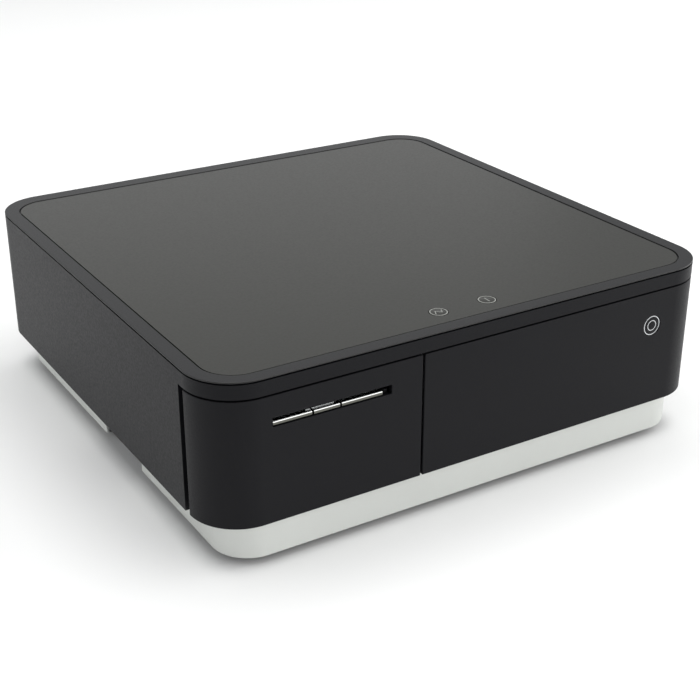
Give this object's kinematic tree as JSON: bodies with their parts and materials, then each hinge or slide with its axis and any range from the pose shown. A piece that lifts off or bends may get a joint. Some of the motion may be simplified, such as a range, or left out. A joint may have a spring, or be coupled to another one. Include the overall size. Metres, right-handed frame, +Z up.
{
  "type": "cash drawer",
  "caption": "Low square counter unit with a sliding cash drawer on the right, a receipt printer with a slide-out paper cover on the left, an inlaid top and a silver base.",
  "frame": {"origin": "centre of the plan at the height of the table that it stands on", "axes": "+X to the right seen from the front, -Y towards the user, +Z up"},
  "size_m": [0.3, 0.292, 0.1],
  "materials": {
    "black_plastic": "fine moulded texture",
    "inner_black_plastic": "plain moulded",
    "rim_black_plastic": "satin moulded",
    "satin_grey_sheet": "satin",
    "silver_paint": "fine metallic silver",
    "sheet_steel": "zinc plated",
    "bright_metal": "polished",
    "rubber": "matt",
    "white_plastic": "natural acetal",
    "circuit_board": "solder mask",
    "coil_winding": "enamelled wire"
  },
  "bodies": {
    "enclosure": {"body_housing": "black_plastic", "top_cover": "rim_black_plastic", "top_sheet": "satin_grey_sheet", "chassis_plate": "sheet_steel", "base_frame_front": "inner_black_plastic", "base_frame_rear": "inner_black_plastic", "skirt_front": "silver_paint", "skirt_rear": "silver_paint", "foot_front_left": "rubber", "foot_front_right": "rubber", "foot_rear_left": "rubber", "foot_rear_right": "rubber", "bay_partition": "sheet_steel", "slide_bracket": "sheet_steel", "slide_outer_left": "sheet_steel", "slide_outer_right": "sheet_steel", "main_board": "circuit_board", "dc_inlet": "inner_black_plastic", "usb_device_socket": "sheet_steel", "usb_host_socket": "sheet_steel", "button_board": "circuit_board", "print_frame": "sheet_steel", "paper_motor": "sheet_steel", "tear_bar": "bright_metal", "latch_bracket": "sheet_steel", "solenoid_coil": "coil_winding", "latch_pin": "bright_metal", "ejector_spring": "bright_metal", "drawer_switch": "inner_black_plastic", "printer_guide_left": "white_plastic", "printer_guide_right": "white_plastic"},
    "print_head": {"print_head": "sheet_steel"},
    "idler_gear": {"idler_gear": "white_plastic"},
    "motor_pinion": {"motor_pinion": "bright_metal"},
    "power_button": {"power_button": "satin_grey_sheet"},
    "feed_button": {"feed_button": "satin_grey_sheet"},
    "latch_lever": {"latch_lever": "sheet_steel"},
    "solenoid_plunger": {"solenoid_plunger": "bright_metal"},
    "slide_cage_left": {"slide_cage_left": "bright_metal"},
    "slide_cage_right": {"slide_cage_right": "bright_metal"},
    "drawer": {"drawer_front": "black_plastic", "drawer_tray": "inner_black_plastic", "coin_tray": "black_plastic", "note_divider_1": "black_plastic", "note_divider_2": "black_plastic", "note_divider_3": "black_plastic", "slide_inner_left": "sheet_steel", "slide_inner_right": "sheet_steel", "drawer_strike": "bright_metal", "front_badge": "bright_metal"},
    "printer_cover": {"printer_cover": "black_plastic", "roll_bucket": "inner_black_plastic", "exit_trim_left": "bright_metal", "exit_trim_right": "bright_metal", "platen_bush_left": "white_plastic", "platen_bush_right": "white_plastic"},
    "release_lever": {"cover_release_lever": "bright_metal"},
    "platen": {"platen_shaft": "bright_metal", "platen_roller": "rubber", "platen_gear": "white_plastic"}
  },
  "joints": [
    {"name": "drawer_slide", "type": "slide", "parent": "enclosure", "child": "drawer", "axis": [0, -1, 0], "range_m": [0, 0.18]},
    {"name": "slide_cage_left_travel", "type": "slide", "parent": "enclosure", "child": "slide_cage_left", "axis": [0, -1, 0], "range_m": [0, 0.09]},
    {"name": "slide_cage_right_travel", "type": "slide", "parent": "enclosure", "child": "slide_cage_right", "axis": [0, -1, 0], "range_m": [0, 0.09]},
    {"name": "printer_cover_slide", "type": "slide", "parent": "enclosure", "child": "printer_cover", "axis": [0, -1, 0], "range_m": [0, 0.09]},
    {"name": "cover_release_lever_pull", "type": "hinge", "parent": "printer_cover", "child": "release_lever", "pos_m": [-0.0901, -0.1406, 0.0666], "axis": [1, 0, 0], "range_deg": [0, 6], "stiffness_Nm_per_rad": 0.1, "springref_deg": -2.86},
    {"name": "platen_spin", "type": "hinge", "parent": "printer_cover", "child": "platen", "pos_m": [-0.088, -0.133, 0.0717], "axis": [1, 0, 0], "continuous": true},
    {"name": "idler_gear_spin", "type": "hinge", "parent": "enclosure", "child": "idler_gear", "pos_m": [-0.1238, -0.11285, 0.0717], "axis": [1, 0, 0], "continuous": true},
    {"name": "motor_pinion_spin", "type": "hinge", "parent": "enclosure", "child": "motor_pinion", "pos_m": [-0.1238, -0.098, 0.06313], "axis": [1, 0, 0], "continuous": true},
    {"name": "print_head_lift", "type": "hinge", "parent": "enclosure", "child": "print_head", "pos_m": [-0.088, -0.123, 0.0855], "axis": [-1, 0, 0], "range_deg": [0, 2], "stiffness_Nm_per_rad": 0.5, "springref_deg": -5.73},
    {"name": "latch_lever_swing", "type": "hinge", "parent": "enclosure", "child": "latch_lever", "pos_m": [0.038, 0.138, 0.062], "axis": [1, 0, 0], "range_deg": [0, 15]},
    {"name": "solenoid_plunger_travel", "type": "slide", "parent": "enclosure", "child": "solenoid_plunger", "axis": [0, 0, -1], "range_m": [0, 0.0018]},
    {"name": "power_button_press", "type": "slide", "parent": "enclosure", "child": "power_button", "axis": [0, 0, -1], "range_m": [0, 0.0005], "stiffness_N_per_m": 1500, "springref_m": -0.0003},
    {"name": "feed_button_press", "type": "slide", "parent": "enclosure", "child": "feed_button", "axis": [0, 0, -1], "range_m": [0, 0.0005], "stiffness_N_per_m": 1500, "springref_m": -0.0003}
  ],
  "couplings": [
    {"joint": "slide_cage_left_travel", "follows": "drawer_slide", "ratio": 0.5},
    {"joint": "slide_cage_right_travel", "follows": "drawer_slide", "ratio": 0.5},
    {"joint": "idler_gear_spin", "follows": "platen_spin", "ratio": -0.66667},
    {"joint": "motor_pinion_spin", "follows": "platen_spin", "ratio": 1.6},
    {"joint": "solenoid_plunger_travel", "follows": "latch_lever_swing", "m_per_rad": 0.0065}
  ]
}
